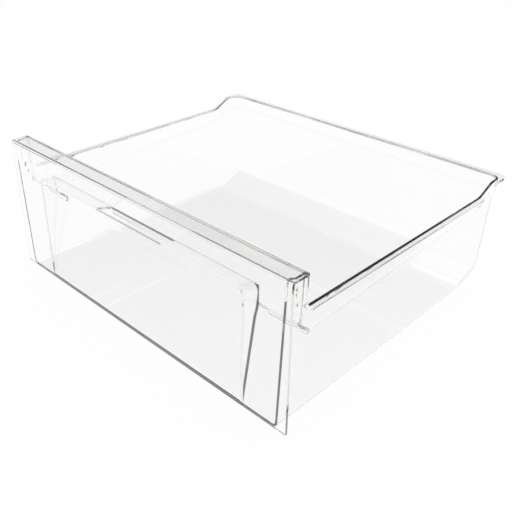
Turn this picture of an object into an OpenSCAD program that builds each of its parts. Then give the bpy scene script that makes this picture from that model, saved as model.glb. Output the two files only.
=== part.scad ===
// Clear freezer drawer: an open-fronted tub and the front panel that closes it.
// The front face stands towards -Y. X is centred, Y is centred on the whole depth, Z = 0 is the base.

/* [Front panel] */
// Width of the panel, and over the side rims
panel_w = 430; // [360:1:480]
// Height of the panel
panel_h = 158; // [145:1:190]
// Sheet thickness of the panel
panel_t = 2.6; // [2:0.1:3.5]
// Extra width of the panel at its foot, on each side
panel_flare = 1.2; // [0:0.1:3]
// How far the top of the face leans back
panel_lean = 3.2; // [0:0.1:6]
// Depth of the shelf along the top
shelf_d = 24; // [20:0.5:32]
// Outside radius of the fold between face and shelf
fold_r = 3.4; // [3.6:0.1:5]

/* [Pull recess] */
// Width of the face left on each side of the recess
recess_margin = 55.5; // [40:0.5:90]
// Height of its opening above the base
recess_h = 126.7; // [115:0.5:130]
// Depth at the top of its sloping back
recess_d = 22.4; // [16:0.1:24]
// How far the roof falls towards the back
roof_drop = 5.8; // [2:0.1:8]
// Radius of the two upper corners
recess_r = 7; // [4:0.5:15]
// Width of the finger opening in the roof
finger_w = 103.5; // [80:0.5:150]
// Flat left between the finger opening and the sloping back
finger_land = 1.6; // [1:0.1:3]
// How far the lip of the finger opening reaches forward
lip_reach = 3; // [2:0.1:4]
// How far that lip drops
lip_drop = 2.2; // [1:0.1:3]
// Shortening of the lip at each end
lip_taper = 7; // [4:0.5:12]
// Middle height of the swage across the sloping back
swage_z = 96.7; // [60:0.1:100]
// Depth of that swage
swage_step = 1.2; // [0.5:0.1:2]

/* [Tub] */
// How far each side wall stands in from the end of the panel, at the base
side_inset = 10; // [8.5:0.5:14]
// Length of the flat floor, from the front face
floor_l = 313; // [250:1:380]
// Outside depth at the foot of the rear wall
tub_l = 356; // [290:1:420]
// Height of the slope between floor and rear wall
slope_h = 16; // [10:0.5:25]
// Sheet thickness of the tub
wall_t = 2.6; // [2:0.1:3.2]
// Draft of the walls in degrees
draft = 1.7; // [0.5:0.1:2]
// Outside radius along the lower side edges
edge_r = 6; // [4:0.5:9]
// Outside radius of the rear corners
corner_r = 6; // [4:0.5:9]

/* [Rim] */
// Height of the side rims
rim_h = 121.7; // [116:0.1:126]
// Height of the rear rim
rear_rim_h = 133.4; // [126:0.1:140]
// Width of the rear rim outside the wall
rear_rim_w = 5.2; // [4:0.1:9]
// Start of the ramp up to the rear rim, from the front face
ramp_y = 317.5; // [260:0.5:330]
// Length of that ramp
ramp_l = 23; // [16:0.5:30]
// Radius where the side rim turns up behind the panel
turn_r = 8; // [5:0.5:12]
// Radius of the rear rim corners
rim_r = 9; // [6:0.5:14]

/* [Joggle] */
// Outward step of the upper band of the walls
joggle = 2.5; // [1.5:0.1:3.5]
// Height over which the wall steps out
joggle_h = 10; // [8:0.5:14]
// Middle height of the step at the front of the side walls
joggle_z = 93; // [80:0.5:96]
// Middle height of the step at the ramp
joggle_rear_z = 106; // [96:0.5:108]
// Middle height of the step along the rear wall
joggle_back_z = 117; // [108:0.5:118]
// Depth at which the step turns upward, from the front face
joggle_turn = 38; // [34:0.5:60]
// Depth at which it leaves the top of the wall
joggle_exit = 12; // [8:0.5:16]

/* [Crossbar] */
// Height of the lower edge of the crossbar
bar_z = 88; // [70:0.5:96]
// Height at which the crossbar starts to flare backward
flare_z = 107; // [100:0.5:115]
// How far it flares backward
flare = 13.5; // [6:0.5:18]
// Height of the straight hem under the flare
hem = 3; // [2:0.5:8]

/* [Fit] */
// Clearance between the tub and the panel
seam = 0.2; // [0.1:0.05:0.4]

/* [Hidden] */
tint = [0.93, 0.96, 0.96, 0.35];
tan_draft = tan(draft);
tub_w = panel_w - 2 * side_inset;
recess_w = panel_w - 2 * recess_margin;
slope_run = tub_l - floor_l;
slope_angle = atan(slope_h / slope_run);
slope_r = 8;
turn_mid = [27, 99];
front_climb_1 = -atan((turn_mid[1] - joggle_z) / (joggle_turn - turn_mid[0]));
front_climb_2 = -atan((panel_h - turn_mid[1]) / (turn_mid[0] - joggle_exit + 8));
top_z = panel_h - panel_t - seam;
cap_z = panel_h + 30;
strip_y = shelf_d;
rear_wall_y = tub_l + tan_draft * (rear_rim_h - slope_h) + joggle;
overall_d = rear_wall_y + rear_rim_w;
arc_steps = 6;
band_steps = 5;

// Points of an arc about c, from angle a to angle b
function arc(c, r, a, b, n = arc_steps) =
    [for (i = [0:n]) let (t = a + (b - a) * i / n) [c[0] + r * cos(t), c[1] + r * sin(t)]];

// Eased step from 0 to 1
function ease(t) = let (u = min(max(t, 0), 1)) u * u * (3 - 2 * u);

// Points of a bend of radius r at b, between the lines to a and to c
function bend(a, b, c, r, n = arc_steps) =
    let (
        u = (a - b) / norm(a - b),
        v = (c - b) / norm(c - b),
        m = (u + v) / norm(u + v),
        half = acos(u * v) / 2,
        o = b + m * r / sin(half),
        t0 = atan2((b + u * r / tan(half) - o)[1], (b + u * r / tan(half) - o)[0]),
        t1 = atan2((b + v * r / tan(half) - o)[1], (b + v * r / tan(half) - o)[0]),
        turn = (t1 - t0 + 540) % 360 - 180
    )
    arc(o, r, t0, t0 + turn, n);

// Depth of the panel's front face at height z
function face_y(z) = panel_lean * z / panel_h;

// Extrude a profile drawn in depth and height across the width, centred
module across(w) {
    rotate([90, 0, 90]) linear_extrude(height = w, center = true) children();
}

// Extrude a profile drawn in width and height from depth y0 to depth y1
module along(y0, y1) {
    translate([0, y1, 0]) rotate([90, 0, 0]) linear_extrude(height = y1 - y0) children();
}

// Side view of the tub's body, moved in by inset and with the rear wall set out by grow
module body_view(inset, grow) {
    slope_at = floor_l - inset * tan(slope_angle / 2);
    rear_0 = tub_l - inset + grow - tan_draft * slope_h;
    knee_z = (rear_0 - floor_l + inset / sin(slope_angle)) / (1 / tan(slope_angle) - tan_draft);
    start = [-shelf_d, inset];
    foot = [slope_at, inset];
    knee = [rear_0 + tan_draft * knee_z, knee_z];
    head = [rear_0 + tan_draft * cap_z, cap_z];
    polygon(concat(
        [[-shelf_d, cap_z], start],
        bend(start, foot, knee, slope_r + inset, 3),
        bend(foot, knee, head, edge_r - inset, 4),
        [head]
    ));
}

// Front view of the tub's body, moved in by inset and with the walls set out by grow
module body_front(inset, grow) {
    x0 = tub_w / 2 - inset + grow;
    foot = [x0 + tan_draft * inset, inset];
    head = [x0 + tan_draft * cap_z, cap_z];
    right = concat(bend([0, inset], foot, head, edge_r - inset, 5), [head]);
    polygon(concat(right, [for (i = [len(right) - 1:-1:0]) [-right[i][0], right[i][1]]]));
}

// Square rear corner less the cone that rounds it, the right one
module corner_cut(inset, grow) {
    r = corner_r - inset + grow;
    x = tub_w / 2 - inset + grow - r;
    y = tub_l - inset + grow - tan_draft * slope_h - r;
    translate([x, y, -1]) difference() {
        cube([3 * shelf_d, 3 * shelf_d, cap_z + 4]);
        translate([0, 0, -1])
            cylinder(h = cap_z + 6, r1 = r - 2 * tan_draft, r2 = r + (cap_z + 4) * tan_draft);
    }
}

// Body of the tub as a block with straight drafted walls
module straight_block(inset, grow) {
    difference() {
        intersection() {
            across(panel_w + 4 * joggle) body_view(inset, grow);
            along(-shelf_d, overall_d + shelf_d) body_front(inset, grow);
        }
        corner_cut(inset, grow);
        mirror([1, 0, 0]) corner_cut(inset, grow);
    }
}

// Section of the space under the joggle, with the eased step as its top
module joggle_section() {
    polygon(concat(
        [[-shelf_d, -cap_z], [shelf_d, -cap_z], [shelf_d, joggle_h / 2]],
        [for (i = [band_steps:-1:0]) [joggle * ease(i / band_steps), joggle_h * (i / band_steps - 0.5)]],
        [[-shelf_d, -joggle_h / 2]]
    ));
}

// Space under a straight run of the joggle through depth y and height z, climbing by angle
module under_run(y, z, angle, before, after) {
    translate([0, y, z]) rotate([angle, 0, 0]) along(-before, after) joggle_section();
}

// Space under the joggle beside the right wall
module side_under(inset) {
    rise = atan((joggle_rear_z - joggle_z) / (ramp_y - joggle_turn));
    climb = atan((joggle_back_z - joggle_rear_z) / ramp_l);
    translate([tub_w / 2 - inset, 0, 0]) rotate([0, draft, 0]) {
        under_run(turn_mid[0], turn_mid[1], front_climb_2, 4 * shelf_d, 2 * shelf_d);
        under_run(joggle_turn, joggle_z, front_climb_1, 3 * shelf_d, 2 * shelf_d);
        under_run(joggle_turn, joggle_z, rise, 2 * shelf_d, overall_d);
        intersection() {
            under_run(ramp_y, joggle_rear_z, climb, shelf_d, 4 * shelf_d);
            under_run(ramp_y, joggle_back_z, 0, shelf_d, 4 * shelf_d);
        }
    }
}

// Space under the joggle behind the rear wall
module rear_under(inset) {
    translate([0, tub_l - inset - tan_draft * slope_h, 0]) rotate([0, 0, 90])
        rotate([0, draft, 0]) under_run(0, joggle_back_z, 0, panel_w, panel_w);
}

// Space under the joggle round the rear corner, the right one
module corner_under(inset) {
    r = corner_r - inset;
    wall = function (z) r + tan_draft * z;
    z0 = joggle_back_z - joggle_h / 2;
    translate([tub_w / 2 - inset - r, tub_l - inset - tan_draft * slope_h - r, 0])
        rotate_extrude(angle = 90) polygon(concat(
            [[0, -shelf_d], [2 * shelf_d, -shelf_d], [2 * shelf_d, z0 + joggle_h]],
            [for (i = [band_steps:-1:0]) let (z = z0 + joggle_h * i / band_steps) [wall(z) + joggle * ease(i / band_steps), z]],
            [[0, z0]]
        ));
}

// Body of the tub as a block with the joggle in its walls
module tub_block(inset) {
    straight_block(inset, 0);
    difference() {
        straight_block(inset, joggle);
        side_under(inset);
        mirror([1, 0, 0]) side_under(inset);
        rear_under(inset);
        corner_under(inset);
        mirror([1, 0, 0]) corner_under(inset);
    }
}

// Upper edge of the side walls, seen from the side
function top_edge() =
    concat(
        [[strip_y, top_z]],
        arc([strip_y + turn_r, rim_h + turn_r], turn_r, 180, 270),
        [[ramp_y, rim_h], [ramp_y + ramp_l, rear_rim_h], [overall_d + 1, rear_rim_h]]
    );

// Side view of the tub below that edge
module side_view() {
    gap = panel_t + seam;
    polygon(concat(
        [[face_y(-1) + gap, -1], [face_y(top_z) + gap, top_z]],
        top_edge(),
        [[overall_d + 1, -1]]
    ));
}

// Section of the rim along that edge, one sheet thick
module rim_view() {
    mitre = wall_t * tan(atan((rear_rim_h - rim_h) / ramp_l) / 2);
    polygon(concat(
        top_edge(),
        [
            [overall_d + 1, rear_rim_h - wall_t],
            [ramp_y + ramp_l + mitre, rear_rim_h - wall_t],
            [ramp_y + mitre, rim_h - wall_t]
        ],
        arc([strip_y + turn_r, rim_h + turn_r], turn_r + wall_t, 270, 180),
        [[strip_y - wall_t, top_z]]
    ));
}

// Plan of the rims, with the rear corners rounded
module rim_plan() {
    x = panel_w / 2;
    polygon(concat(
        [[-x, 0], [x, 0]],
        arc([x - rim_r, overall_d - rim_r], rim_r, 0, 90),
        arc([rim_r - x, overall_d - rim_r], rim_r, 90, 180)
    ));
}

module rims() {
    intersection() {
        linear_extrude(height = cap_z) rim_plan();
        across(panel_w + 2) rim_view();
    }
}

// Points of a line moved sideways by d
function beside(line, d) =
    [for (i = [0:len(line) - 1])
        let (t = line[min(i + 1, len(line) - 1)] - line[max(i - 1, 0)], u = t / norm(t))
        line[i] + d * [-u[1], u[0]]];

// Sheet between the side walls that carries the shelf, flared backward over a rounded hem
module crossbar() {
    y0 = strip_y - wall_t / 2;
    z0 = bar_z + wall_t / 2;
    drop = flare_z - z0 - hem;
    line = concat(
        [[y0, top_z]],
        [for (i = [0:8]) [y0 + flare * ease(i / 8), flare_z - drop * i / 8]],
        [[y0 + flare, z0]]
    );
    back = beside(line, -wall_t / 2);
    front = beside(line, wall_t / 2);
    difference() {
        across(panel_w) polygon(concat(
            front,
            arc([y0 + flare, z0], wall_t / 2, 0, -180),
            [for (i = [len(back) - 1:-1:0]) back[i]]
        ));
        recess_block(panel_t + seam);
        translate([0, 0, -roof_drop]) along(0, 2 * shelf_d) recess_front(panel_t + seam);
    }
}

module tub() {
    color(tint) translate([0, -overall_d / 2, 0]) difference() {
        union() {
            intersection() {
                tub_block(0);
                across(panel_w + 2) side_view();
            }
            rims();
        }
        difference() {
            tub_block(wall_t);
            crossbar();
        }
    }
}

// Depth of the recess at height z, up to its roof
function recess_y(z) =
    recess_d * z / (recess_h - roof_drop) + swage_step * ease((z - swage_z) / joggle_h + 0.5);

// Side view of the recess, grown by a sheet thickness t
module recess_view(t) {
    back = recess_d + swage_step;
    zs = concat([0], [for (i = [0:8]) swage_z + joggle_h * (i / 8 - 0.5)], [recess_h - roof_drop]);
    pitch = roof_drop / back;
    polygon(concat(
        [[-1, t > 0 ? 0 : -1], [0, t > 0 ? 0 : -1]],
        [for (z = zs) [recess_y(z) + t, z]],
        [[back + t, recess_h - pitch * (back + t) + t], [-1, recess_h + pitch + t]]
    ));
}

// Front view of the recess, grown by t, square at the foot and rounded at the top
module recess_front(t) {
    x = recess_w / 2 + t;
    r = recess_r + t;
    polygon(concat(
        [[-x, -1], [x, -1]],
        arc([x - r, recess_h + t - r], r, 0, 90),
        arc([r - x, recess_h + t - r], r, 90, 180)
    ));
}

module recess_block(t) {
    intersection() {
        across(panel_w) recess_view(t);
        along(-shelf_d, 2 * shelf_d) recess_front(t);
    }
}

// Section of the face and the shelf as one folded sheet
module panel_view() {
    polygon(concat(
        [[0, 0], [face_y(panel_h - fold_r), panel_h - fold_r]],
        arc([panel_lean + fold_r, panel_h - fold_r], fold_r, 165, 90),
        [[shelf_d, panel_h], [shelf_d, panel_h - panel_t]],
        arc([panel_lean + fold_r + panel_t, panel_h - fold_r - panel_t], fold_r, 90, 180),
        [[panel_t, 0]]
    ));
}

// Front view of the panel
module panel_front() {
    x = panel_w / 2;
    polygon([[-x - panel_flare, 0], [x + panel_flare, 0], [x, panel_h], [-x, panel_h]]);
}

// Space in front of the leaning face
module front_space() {
    across(panel_w + 2) polygon([
        [face_y(-1), -1],
        [face_y(panel_h + 1), panel_h + 1],
        [-shelf_d, panel_h + 1],
        [-shelf_d, -1]
    ]);
}

// Plan of the finger opening, or of its lip
module finger_plan() {
    y0 = face_y(recess_h) + panel_t;
    y1 = recess_y(recess_h - roof_drop) - finger_land;
    translate([-finger_w / 2, y0]) square([finger_w, y1 - y0]);
}

module finger_lip() {
    y1 = recess_y(recess_h - roof_drop) - finger_land;
    z1 = recess_h - roof_drop * y1 / recess_d;
    intersection() {
        across(finger_w) polygon([
            [y1 + 0.4, z1],
            [y1 - lip_reach, z1 - lip_drop],
            [y1 - lip_reach, z1 - lip_drop + panel_t * 0.8],
            [y1 + 0.4, z1 + panel_t]
        ]);
        linear_extrude(height = panel_h) polygon([
            [-finger_w / 2 - 1, y1 + 1],
            [-finger_w / 2 - 1, y1],
            [-finger_w / 2, y1],
            [-finger_w / 2 + lip_taper, y1 - lip_reach],
            [finger_w / 2 - lip_taper, y1 - lip_reach],
            [finger_w / 2, y1],
            [finger_w / 2 + 1, y1],
            [finger_w / 2 + 1, y1 + 1]
        ]);
    }
}

module front_panel() {
    color(tint) translate([0, -overall_d / 2, 0]) {
        difference() {
            union() {
                intersection() {
                    across(panel_w + 2 * panel_flare) panel_view();
                    along(-1, 2 * shelf_d) panel_front();
                }
                difference() {
                    recess_block(panel_t);
                    front_space();
                }
            }
            recess_block(0);
            translate([0, 0, recess_h - 2 * roof_drop])
                linear_extrude(height = 2 * roof_drop + 2 * panel_t) finger_plan();
        }
        finger_lip();
    }
}

tub();
front_panel();
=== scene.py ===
import math
import bmesh
import bpy
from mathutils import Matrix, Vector


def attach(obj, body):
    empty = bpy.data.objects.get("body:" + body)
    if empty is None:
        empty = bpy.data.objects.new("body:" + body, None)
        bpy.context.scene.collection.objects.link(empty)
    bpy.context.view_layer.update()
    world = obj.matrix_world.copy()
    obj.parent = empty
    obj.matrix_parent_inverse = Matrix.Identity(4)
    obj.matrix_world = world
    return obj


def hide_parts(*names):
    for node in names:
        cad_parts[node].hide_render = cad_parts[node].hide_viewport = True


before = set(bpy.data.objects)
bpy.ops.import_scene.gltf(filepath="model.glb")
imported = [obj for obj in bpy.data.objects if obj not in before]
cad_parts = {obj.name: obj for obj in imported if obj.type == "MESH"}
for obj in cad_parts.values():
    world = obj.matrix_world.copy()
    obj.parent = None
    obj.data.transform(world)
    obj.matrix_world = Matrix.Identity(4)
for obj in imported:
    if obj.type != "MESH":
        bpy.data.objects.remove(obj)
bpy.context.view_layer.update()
print("frame loaded")

# Lengths below are in millimetres. Depth counts from the front face and is turned to the frame's own middle in place()


def linearColor(hexText):
    # sRGB hex to the linear colour that the shaders take
    values = [int(hexText[i:i + 2], 16) / 255 for i in (1, 3, 5)]
    return [v / 12.92 if v <= 0.04045 else ((v + 0.055) / 1.055) ** 2.4 for v in values] + [1.0]


def addNode(tree, kind, place, settings=None, inputs=None, links=None):
    # One node with its settings, its input values and the sockets that feed it
    node = tree.nodes.new(kind)
    node.location = place
    for name, value in (settings or {}).items():
        setattr(node, name, value)
    for name, value in (inputs or {}).items():
        node.inputs[name].default_value = value
    for name, socket in (links or {}).items():
        tree.links.new(socket, node.inputs[name])
    return node


def ease(t):
    u = min(max(t, 0.0), 1.0)
    return u * u * (3 - 2 * u)


def mix(a, b, t):
    return a + (b - a) * t


def between(start, end, steps):
    # steps values from start up to but not including end
    return [mix(start, end, i / steps) for i in range(steps)]


tub = {
    "halfDepth": 183.6,   # half the whole depth, which is where the frame has its middle
    "width": 410.0,       # outside, at the base
    "floor": 313.0,       # flat floor, from the front face
    "length": 356.0,      # outside, at the foot of the rear wall
    "slope": 16.0,        # height of the slope between floor and rear wall
    "foldSoft": 7.0,      # length over which floor and slope blend
    "wall": 2.6,
    "draft": 1.7,         # degrees
    "edge": 6.0,          # outside radius along the base
    "corner": 6.0,        # outside radius of the rear corners, at the base
    "rim": 121.7,
    "rearRim": 133.4,
    "rimReach": 215.0,
    "ramp": (317.5, 340.5),
    "turn": 8.0,
    "strip": 24.0,        # depth at which the side rim stands up behind the face
    "top": 155.2,
    "joggle": 2.5,
    "joggleTall": 10.0,
    "joggleLow": 93.0,
    "joggleHigh": 106.0,
    "joggleRear": 117.0,
    "joggleTurn": 38.0,
    "joggleExit": 11.5,
    "seam": 0.2,
}
panel = {
    "width": 430.0,
    "flare": 1.2,
    "height": 158.0,
    "sheet": 2.6,
    "lean": 3.2,
    "shelf": 24.0,
    "fold": 3.4,
    "recessWidth": 319.0,
    "recessTop": 126.7,
    "recessDeep": 22.4,
    "roofDrop": 5.8,
    "recessCorner": 7.0,
    "swageAt": 96.7,
    "swageTall": 10.0,
    "swageStep": 1.2,
    "finger": 103.5,
    "land": 1.6,
    "lipReach": 3.0,
    "lipDrop": 2.2,
    "lipTaper": 7.0,
}

tanDraft = math.tan(math.radians(tub["draft"]))
slopeAngle = math.atan(tub["slope"] / (tub["length"] - tub["floor"]))
cornerX = tub["width"] / 2 - tub["corner"]
cornerY = tub["length"] - tanDraft * tub["slope"] - tub["corner"]
rearEdge = 2 * tub["halfDepth"]


def faceDepth(z):
    return panel["lean"] * z / panel["height"]


def place(x, y, z):
    return Vector((x / 1000, (y - tub["halfDepth"]) / 1000, z / 1000))


def jogglePath(y):
    # Middle height of the step on a side wall at depth y
    if y < tub["joggleTurn"]:
        run = (tub["joggleTurn"] - y) / (tub["joggleTurn"] - tub["joggleExit"])
        return tub["joggleLow"] + 68.0 * (1 - math.sqrt(max(0.0, 1 - min(1.0, run) ** 2)))
    start, end = tub["ramp"]
    if y < start:
        return mix(tub["joggleLow"], tub["joggleHigh"], (y - tub["joggleTurn"]) / (start - tub["joggleTurn"]))
    return mix(tub["joggleHigh"], tub["joggleRear"], ease((y - start) / (end - start)))


def stepAt(y, z, tall):
    return ease((z - jogglePath(y)) / tall + 0.5)


def wallRadius(y, z):
    # Distance of the inner wall from the line of corner centres at depth y and height z
    return tub["corner"] - tub["wall"] + tanDraft * z + tub["joggle"] * stepAt(y, z, tub["joggleTall"])


def slopeHeight(y):
    return (y - tub["floor"]) * math.tan(slopeAngle) + tub["wall"] / math.cos(slopeAngle)


def floorHeight(y):
    # Top of the floor, with the fold to the slope blended
    low, high = tub["wall"], slopeHeight(y)
    k = tub["foldSoft"] * math.tan(slopeAngle)
    h = max(k - abs(low - high), 0.0)
    return max(low, high) + h * h / (4 * k)


def rimLine():
    # Depth, height of the wall's upper edge from the front to the rear, with a flag where the rim turns out
    line = [(mix(3.2 + 2.8, tub["strip"], i / 6), tub["top"], False) for i in range(7)]
    line += [(tub["strip"], z, True) for z in between(tub["top"], tub["rim"] + tub["turn"], 6)]
    c = (tub["strip"] + tub["turn"], tub["rim"] + tub["turn"])
    line += [(c[0] - tub["turn"] * math.cos(math.radians(a)), c[1] - tub["turn"] * math.sin(math.radians(a)), True) for a in range(0, 90, 9)]
    start, end = tub["ramp"]
    line += [(y, tub["rim"], True) for y in between(c[0], 60, 6) + between(60, start - 8, 22)]
    for i in range(25):
        y = mix(start - 8, end + 6, i / 24)
        low, high = tub["rim"], tub["rearRim"]
        slope = (high - low) / (end - start)
        z = softClamp(low + (y - start) * slope, low, high, 2.2)
        line.append((y, z, True))
    line += [(y, tub["rearRim"], True) for y in (348.2,)]
    return line


def softClamp(value, low, high, k):
    def softMax(a, b):
        h = max(k - abs(a - b), 0.0)
        return max(a, b) + h * h / (4 * k)
    return -softMax(-softMax(value, low), -high)


def closeSheet(points, twins, faces):
    # Skin, the same skin turned round at its twin points, and a strip along every open edge
    n = len(points)
    edges = {}
    for face in faces:
        for a, b in zip(face, face[1:] + face[:1]):
            edges[(a, b)] = True
    closed = list(faces) + [tuple(n + i for i in reversed(face)) for face in faces]
    closed += [(b, a, n + a, n + b) for a, b in edges if (b, a) not in edges]
    return points + twins, closed


def sheetPiece(name, points, faces, thickness, bevel, node, twins=None):
    # A moulded sheet from its visible skin: the wall behind it, then small rounds on every sharp edge
    if twins:
        points, faces = closeSheet(points, twins, faces)
    mesh = bpy.data.meshes.new(name + "Skin")
    mesh.from_pydata([place(*p) for p in points], [], faces)
    shape = bmesh.new()
    shape.from_mesh(mesh)
    bmesh.ops.remove_doubles(shape, verts=shape.verts, dist=0.00002)
    bmesh.ops.dissolve_degenerate(shape, edges=shape.edges, dist=0.00001)
    for face in shape.faces:
        face.smooth = True
    shape.to_mesh(mesh)
    shape.free()
    draft = bpy.data.objects.new(name + "Skin", mesh)
    bpy.context.scene.collection.objects.link(draft)
    if not twins:
        wall = draft.modifiers.new("wall", "SOLIDIFY")
        wall.thickness = thickness / 1000
        wall.offset = -1.0
        wall.use_even_offset = True
    rounds = draft.modifiers.new("rounds", "BEVEL")
    rounds.width = bevel / 1000
    rounds.segments = 3
    rounds.limit_method = "ANGLE"
    rounds.angle_limit = math.radians(38)
    shade = draft.modifiers.new("shade", "WEIGHTED_NORMAL")
    shade.keep_sharp = True
    bpy.context.view_layer.update()
    solid = bpy.data.meshes.new_from_object(draft.evaluated_get(bpy.context.evaluated_depsgraph_get()))
    bpy.data.objects.remove(draft)
    solid.name = name
    solid.materials.clear()
    solid.materials.append(plastic)
    piece = bpy.data.objects.new(name, solid)
    bpy.context.scene.collection.objects.link(piece)
    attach(piece, "root")
    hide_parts(node)
    zs = [v.co.z for v in solid.vertices]
    print(name, "made,", len(solid.polygons), "faces, height", round(min(zs), 5), "to", round(max(zs), 5))
    return piece


# Tub

tubRows = {"fillet": 6, "low": 30, "step": 20, "high": 10}


def rowHeights(base, head, middle, aligned):
    # Heights of a column's rows: even at the front, gathered round the step farther back
    reach = tub["joggleTall"] * 0.6
    n = tubRows["low"] + tubRows["step"] + tubRows["high"]
    even = [mix(base, head, (i + 1) / n) for i in range(n)]
    low = min(middle - reach, head - 4)
    high = min(middle + reach, head - 2)
    near = [mix(base, low, (i + 1) / tubRows["low"]) for i in range(tubRows["low"])]
    near += [mix(low, high, (i + 1) / tubRows["step"]) for i in range(tubRows["step"])]
    near += [mix(high, head, (i + 1) / tubRows["high"]) for i in range(tubRows["high"])]
    return [mix(e, a, aligned) for e, a in zip(even, near)]


def sideColumns():
    # Columns of the right wall from the front to the rear corner, each a list of points and a flag for the rim
    line = rimLine()
    front = [i for i, p in enumerate(line) if p[0] <= tub["strip"] + tub["turn"] + 0.01]
    round_ = tub["edge"] - tub["wall"]
    columns = []
    for i, (rimY, rimZ, out) in enumerate(line):
        seat = rimY if i > front[-1] else mix(faceDepth(tub["wall"]) + panel["sheet"] + tub["seam"], line[front[-1]][0], i / front[-1])
        base = floorHeight(seat)
        points = []
        for k in range(tubRows["fillet"]):
            turn = math.radians(90 * k / tubRows["fillet"])
            z = base + round_ * (1 - math.cos(turn))
            y = mix(seat, rimY, (z - base) / (rimZ - base))
            points.append((cornerX + wallRadius(y, z) - round_ * (1 - math.sin(turn)), y, z))
        start = base + round_
        points.append((cornerX + wallRadius(seat, start), mix(seat, rimY, round_ / (rimZ - base)), start))
        middle = jogglePath(seat)
        for z in rowHeights(start, rimZ, middle, ease((seat - 34) / 26)):
            y = mix(seat, rimY, (z - base) / (rimZ - base))
            points.append((cornerX + wallRadius(y, z), y, z))
        points.append((tub["rimReach"], rimY, rimZ))
        columns.append((points, out))
    return columns


def rearColumns():
    # Columns round the right rear corner and along the right half of the rear wall
    round_ = tub["edge"] - tub["wall"]
    centreY = cornerY + tanDraft * (tub["slope"] + tub["wall"])
    columns = []
    stations = [(math.radians(a), cornerX) for a in range(9, 91, 9)] + [(math.pi / 2, x) for x in (180, 150, 120, 90, 60, 30, 0)]
    for turn, x0 in stations:
        w = math.sin(turn) ** 2
        out = (math.cos(turn), math.sin(turn))
        start = slopeAngle * w
        height = slopeHeight(centreY) + round_ * mix(1.0, 1 / math.cos(slopeAngle), w)
        points = []
        for k in range(tubRows["fillet"] + 1):
            b = mix(start, math.pi / 2, k / tubRows["fillet"])
            z = height - round_ * math.cos(b)
            r = wallRadius(345, z) - round_ * (1 - math.sin(b))
            y = cornerY + r * out[1]
            if k == 0:
                z = slopeHeight(y)
            points.append((x0 + r * out[0], y, z))
        for z in rowHeights(height, tub["rearRim"], tub["joggleRear"], 1.0):
            r = wallRadius(345, z)
            points.append((x0 + r * out[0], cornerY + r * out[1], z))
        rimR = 9.0
        centre = (tub["rimReach"] - rimR, rearEdge - rimR)
        points.append((centre[0] + rimR * out[0] if x0 == cornerX else x0, centre[1] + rimR * out[1], tub["rearRim"]))
        columns.append((points, True))
    return columns


def makeTub():
    right = sideColumns()
    sideCount = len(right)
    half = right + rearColumns()
    whole = half + [([(-x, y, z) for x, y, z in points], out) for points, out in reversed(half[:-1])]
    rows = len(half[0][0])
    points = [p for column, out in whole for p in column]
    faces = []
    for i in range(len(whole) - 1):
        rim = whole[i][1] and whole[i + 1][1]
        for k in range(rows - 1 if rim else rows - 2):
            a, b = i * rows + k, (i + 1) * rows + k
            faces.append((a, a + 1, b + 1, b))
    last = len(whole) - 1
    for i in range(sideCount - 1):
        faces.append(((last - i) * rows, i * rows, (i + 1) * rows, (last - i - 1) * rows))
    faces.append(tuple(i * rows for i in [last - sideCount + 1] + list(range(sideCount - 1, last - sideCount + 1))))
    return sheetPiece("tubShell", points, faces, tub["wall"], 0.5, "tub")


crossbar = {"low": 88.0, "flareAt": 107.0, "flare": 13.5, "hem": 3.0, "notch": 163.0, "notchTop": 124.5}


def makeCrossbar():
    low, flareAt = crossbar["low"], crossbar["flareAt"]
    drop = flareAt - low - crossbar["hem"]
    heights = [tub["top"], 145, 135, crossbar["notchTop"], 118, 112]
    heights += [flareAt - drop * i / 16 for i in range(17)] + [low]
    rows = [(tub["strip"] + crossbar["flare"] * ease((flareAt - z) / drop), z) for z in heights]
    notch = crossbar["notch"]
    points, faces = [], []
    stations = [1.0, 0.9, 0.6, 0.3, 0.0]
    def station(s, side):
        for y, z in rows:
            end = cornerX + wallRadius(y, z) - 0.03
            points.append((side * mix(notch, end, s), y, z))
    for s in stations:
        station(s, -1)
    for s in reversed(stations):
        station(s, 1)
    n, half = len(rows), len(stations)
    for i in range(2 * half - 1):
        for k in range(3 if i == half - 1 else n - 1):
            a, b = i * n + k, (i + 1) * n + k
            faces.append((a, b, b + 1, a + 1))
    return sheetPiece("crossbar", points, faces, tub["wall"], 0.5, "tub")


# Front panel


def recessDepth(z):
    p = panel
    return p["recessDeep"] * z / (p["recessTop"] - p["roofDrop"]) + p["swageStep"] * ease((z - p["swageAt"]) / p["swageTall"] + 0.5)


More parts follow.
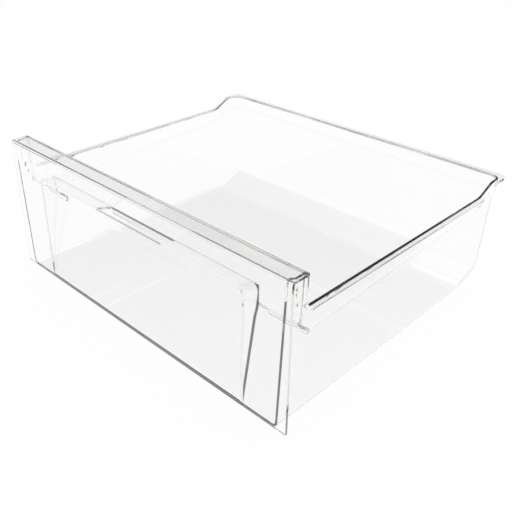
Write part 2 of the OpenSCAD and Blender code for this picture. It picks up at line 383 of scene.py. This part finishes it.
def makeFrontPanel():
    p = panel
    t = p["sheet"]
    fall = (p["recessTop"] - p["roofDrop"]) / p["recessTop"]
    x0, r, top = p["recessWidth"] / 2, p["recessCorner"], p["recessTop"]
    back = recessDepth(top * fall)
    pitch = p["roofDrop"] / back
    finger = p["finger"] / 2
    levels = [0, 15, 30, 45, 60, 75, 86] + [p["swageAt"] + p["swageTall"] * (i / 10 - 0.5) for i in range(11)] + [106, 110]
    # Front outline of the recess with the way its wall thickens: x, z, outward x, outward z
    side = [(x0, z / fall, 1, 0) for z in levels]
    for a in range(0, 91, 10):
        c, v = math.cos(math.radians(a)), math.sin(math.radians(a))
        side.append((x0 - r + r * c, top - r + r * v, c, v))
    right = side + [(finger, top, 0, 1)]
    outline = right + [(-x, z, -u, v) for x, z, u, v in reversed(right)]
    n = len(outline)
    points = [(x, faceDepth(z), z) for x, z, u, v in outline]
    twins = [(x + t * u, faceDepth(z) + t, z + v * t * (1 - pitch)) for x, z, u, v in outline]
    for x, z, u, v in outline:
        points.append((x, recessDepth(z * fall), z * fall))
        twins.append((x + t * u, recessDepth(z * fall) + t, z * fall + v * t * (1 - pitch)))
    landY = back - p["land"]
    landZ = top - pitch * landY
    lipY, lipZ = landY - p["lipReach"], landZ - p["lipDrop"]
    landR, landL, lipR, lipL = 2 * n, 2 * n + 1, 2 * n + 2, 2 * n + 3
    for x, y, z in ((finger, landY, landZ), (-finger, landY, landZ), (finger - p["lipTaper"], lipY, lipZ), (p["lipTaper"] - finger, lipY, lipZ)):
        points.append((x, y, z))
        twins.append((x, y + 0.6, z + t * 0.9))
    faces = []
    m = len(right)                      # outline[m - 1] is the right end of the finger opening
    for i in range(n - 1):
        if i == m - 2:
            faces.append((i, i + 1, landR, n + i + 1, n + i))
        elif i == m:
            faces.append((i, i + 1, n + i + 1, n + i, landL))
        elif i != m - 1:
            faces.append((i, i + 1, n + i + 1, n + i))
    faces.append((landR, landL, n + m, n + m - 1))
    faces.append((lipR, lipL, landL, landR))
    for k in range(len(side) - 2):
        faces.append((n + n - 1 - k, n + k, n + k + 1, n + n - 2 - k))
    k = len(side) - 2
    faces.append((n + n - 1 - k, n + k, n + k + 1, n + k + 2, n + n - 3 - k, n + n - 2 - k))

    def halfWidth(z):
        return p["width"] / 2 + p["flare"] * (1 - z / p["height"])

    # The face round the recess is one flat piece, then come the fold and the shelf
    foldZ = p["height"] - p["fold"]
    centre = (faceDepth(foldZ) + p["fold"], foldZ)
    start = len(points)
    for hand, z in ((1, 0), (1, foldZ), (-1, foldZ), (-1, 0)):
        points.append((hand * halfWidth(z), faceDepth(z), z))
        twins.append((hand * halfWidth(z), faceDepth(z) + t, z))
    faces.append(tuple([start, start + 1, start + 2, start + 3] + list(range(n - 1, -1, -1))))
    rowR, rowL = start + 1, start + 2
    profile = []
    for i in range(1, 9):
        a = math.radians(mix(178.9, 90, i / 8))
        c, v = math.cos(a), math.sin(a)
        profile.append((centre[0] + p["fold"] * c, centre[1] + p["fold"] * v, centre[0] + (p["fold"] - t) * c, centre[1] + (p["fold"] - t) * v))
    profile.append((p["shelf"], p["height"], p["shelf"], p["height"] - t))
    for y, z, twinY, twinZ in profile:
        w = halfWidth(z)
        points += [(w, y, z), (-w, y, z)]
        twins += [(w, twinY, twinZ), (-w, twinY, twinZ)]
        nextR = len(points) - 2
        faces.append((rowR, nextR, nextR + 1, rowL))
        rowR, rowL = nextR, nextR + 1
    return sheetPiece("frontPanel", points, faces, t, 0.45, "front_panel", twins)


# Camera

cameraView = {
    "place": (0.498764, -0.516362, 0.441444),
    "turn": (59.41921, -0.39086, 44.11197),  # degrees
    "lens": 47.79,                            # mm on a 36 mm sensor
}


def makeCamera():
    data = bpy.data.cameras.new("photoCamera")
    data.lens = cameraView["lens"]
    data.sensor_width = 36
    data.clip_start = 0.01
    data.clip_end = 20
    camera = bpy.data.objects.new("photoCamera", data)
    camera.location = cameraView["place"]
    camera.rotation_euler = [math.radians(a) for a in cameraView["turn"]]
    bpy.context.scene.collection.objects.link(camera)
    bpy.context.scene.camera = camera


makeCamera()
print("camera placed")

# Clear plastic

clearPlastic = {
    "color": "#FFFFFF",
    "ior": 1.59,
    "roughness": 0.0,
    "thickTint": "#C9CBB9",   # what a long way through the plastic leaves of white light
    "tintDensity": 6.0,       # per metre
}


def makeClearPlastic(name):
    # Crystal polystyrene, injection moulded against polished steel: water-clear and glossy, darker through its edges
    material = bpy.data.materials.new(name)
    material.use_nodes = True
    tree = material.node_tree
    tree.nodes.clear()
    shader = addNode(tree, "ShaderNodeBsdfPrincipled", (0, 0), inputs={
        "Base Color": linearColor(clearPlastic["color"]),
        "IOR": clearPlastic["ior"],
        "Roughness": clearPlastic["roughness"],
        "Transmission Weight": 1.0,
    })
    depth = addNode(tree, "ShaderNodeVolumeAbsorption", (0, -420), inputs={
        "Color": linearColor(clearPlastic["thickTint"]),
        "Density": clearPlastic["tintDensity"],
    })
    addNode(tree, "ShaderNodeOutputMaterial", (400, 0), links={"Surface": shader.outputs["BSDF"], "Volume": depth.outputs["Volume"]})
    return material


plastic = makeClearPlastic("crystalPolystyrene")
makeTub()
makeCrossbar()
makeFrontPanel()

# Floor, world and lamps

studio = {
    "floorSize": 12.0,
    "floorGlow": 0.97,
    "floorDiffuse": 0.05,
    "darkAbove": 0.35,
    "lampPower": 4.0,
}


def makeFloor():
    mesh = bpy.data.meshes.new("studioFloor")
    s = studio["floorSize"] / 2
    mesh.from_pydata([(-s, -s, -0.0004), (s, -s, -0.0004), (s, s, -0.0004), (-s, s, -0.0004)], [], [(0, 1, 2, 3)])
    floor = bpy.data.objects.new("studioFloor", mesh)
    bpy.context.scene.collection.objects.link(floor)
    material = bpy.data.materials.new("whiteTable")
    material.use_nodes = True
    tree = material.node_tree
    tree.nodes.clear()
    d = studio["floorDiffuse"]
    diffuse = addNode(tree, "ShaderNodeBsdfDiffuse", (-200, -120), inputs={"Color": (d, d, d, 1)})
    glow = addNode(tree, "ShaderNodeEmission", (-200, 60), inputs={"Color": (1, 1, 1, 1), "Strength": studio["floorGlow"]})
    both = addNode(tree, "ShaderNodeAddShader", (0, 0), links={0: glow.outputs[0], 1: diffuse.outputs[0]})
    addNode(tree, "ShaderNodeOutputMaterial", (200, 0), links={"Surface": both.outputs[0]})
    mesh.materials.append(material)
    return floor


def makeWorld():
    world = bpy.data.worlds.new("studioWorld")
    bpy.context.scene.world = world
    world.use_nodes = True
    tree = world.node_tree
    tree.nodes.clear()
    coordinates = addNode(tree, "ShaderNodeTexCoord", (-1000, 0))
    parts = addNode(tree, "ShaderNodeSeparateXYZ", (-820, 0), links={"Vector": coordinates.outputs["Generated"]})
    ramp = addNode(tree, "ShaderNodeValToRGB", (-600, 0), links={"Fac": parts.outputs["Z"]})
    stops = ramp.color_ramp.elements
    stops[0].position = 0.05
    stops[0].color = (1, 1, 1, 1)
    stops[1].position = 0.5
    d = studio["darkAbove"]
    stops[1].color = (d, d, d, 1)
    around = addNode(tree, "ShaderNodeBackground", (-300, -80), inputs={"Strength": 1.0}, links={"Color": ramp.outputs["Color"]})
    white = addNode(tree, "ShaderNodeBackground", (-300, 80), inputs={"Color": (1, 1, 1, 1), "Strength": 1.0})
    path = addNode(tree, "ShaderNodeLightPath", (-300, 320))
    pick = addNode(tree, "ShaderNodeMixShader", (0, 0), links={0: path.outputs["Is Camera Ray"], 1: around.outputs[0], 2: white.outputs[0]})
    addNode(tree, "ShaderNodeOutputWorld", (200, 0), links={"Surface": pick.outputs[0]})


def addLamp(name, place_, target, size, power):
    data = bpy.data.lights.new(name, "AREA")
    data.shape = "RECTANGLE"
    data.size = size[0]
    data.size_y = size[1]
    data.energy = power
    lamp = bpy.data.objects.new(name, data)
    lamp.location = place_
    lamp.rotation_euler = (Vector(target) - Vector(place_)).to_track_quat("-Z", "Y").to_euler()
    bpy.context.scene.collection.objects.link(lamp)
    return lamp


makeFloor()
makeWorld()
addLamp("overheadSoftbox", (0.0, 0.3, 1.6), (0, 0, 0), (1.2, 0.8), studio["lampPower"])
bpy.context.scene.view_settings.view_transform = "Standard"
cycles = bpy.context.scene.cycles
cycles.max_bounces = 40            # light runs a long way inside a clear sheet before it gets out
cycles.transmission_bounces = 40
cycles.glossy_bounces = 40
print("studio lit")
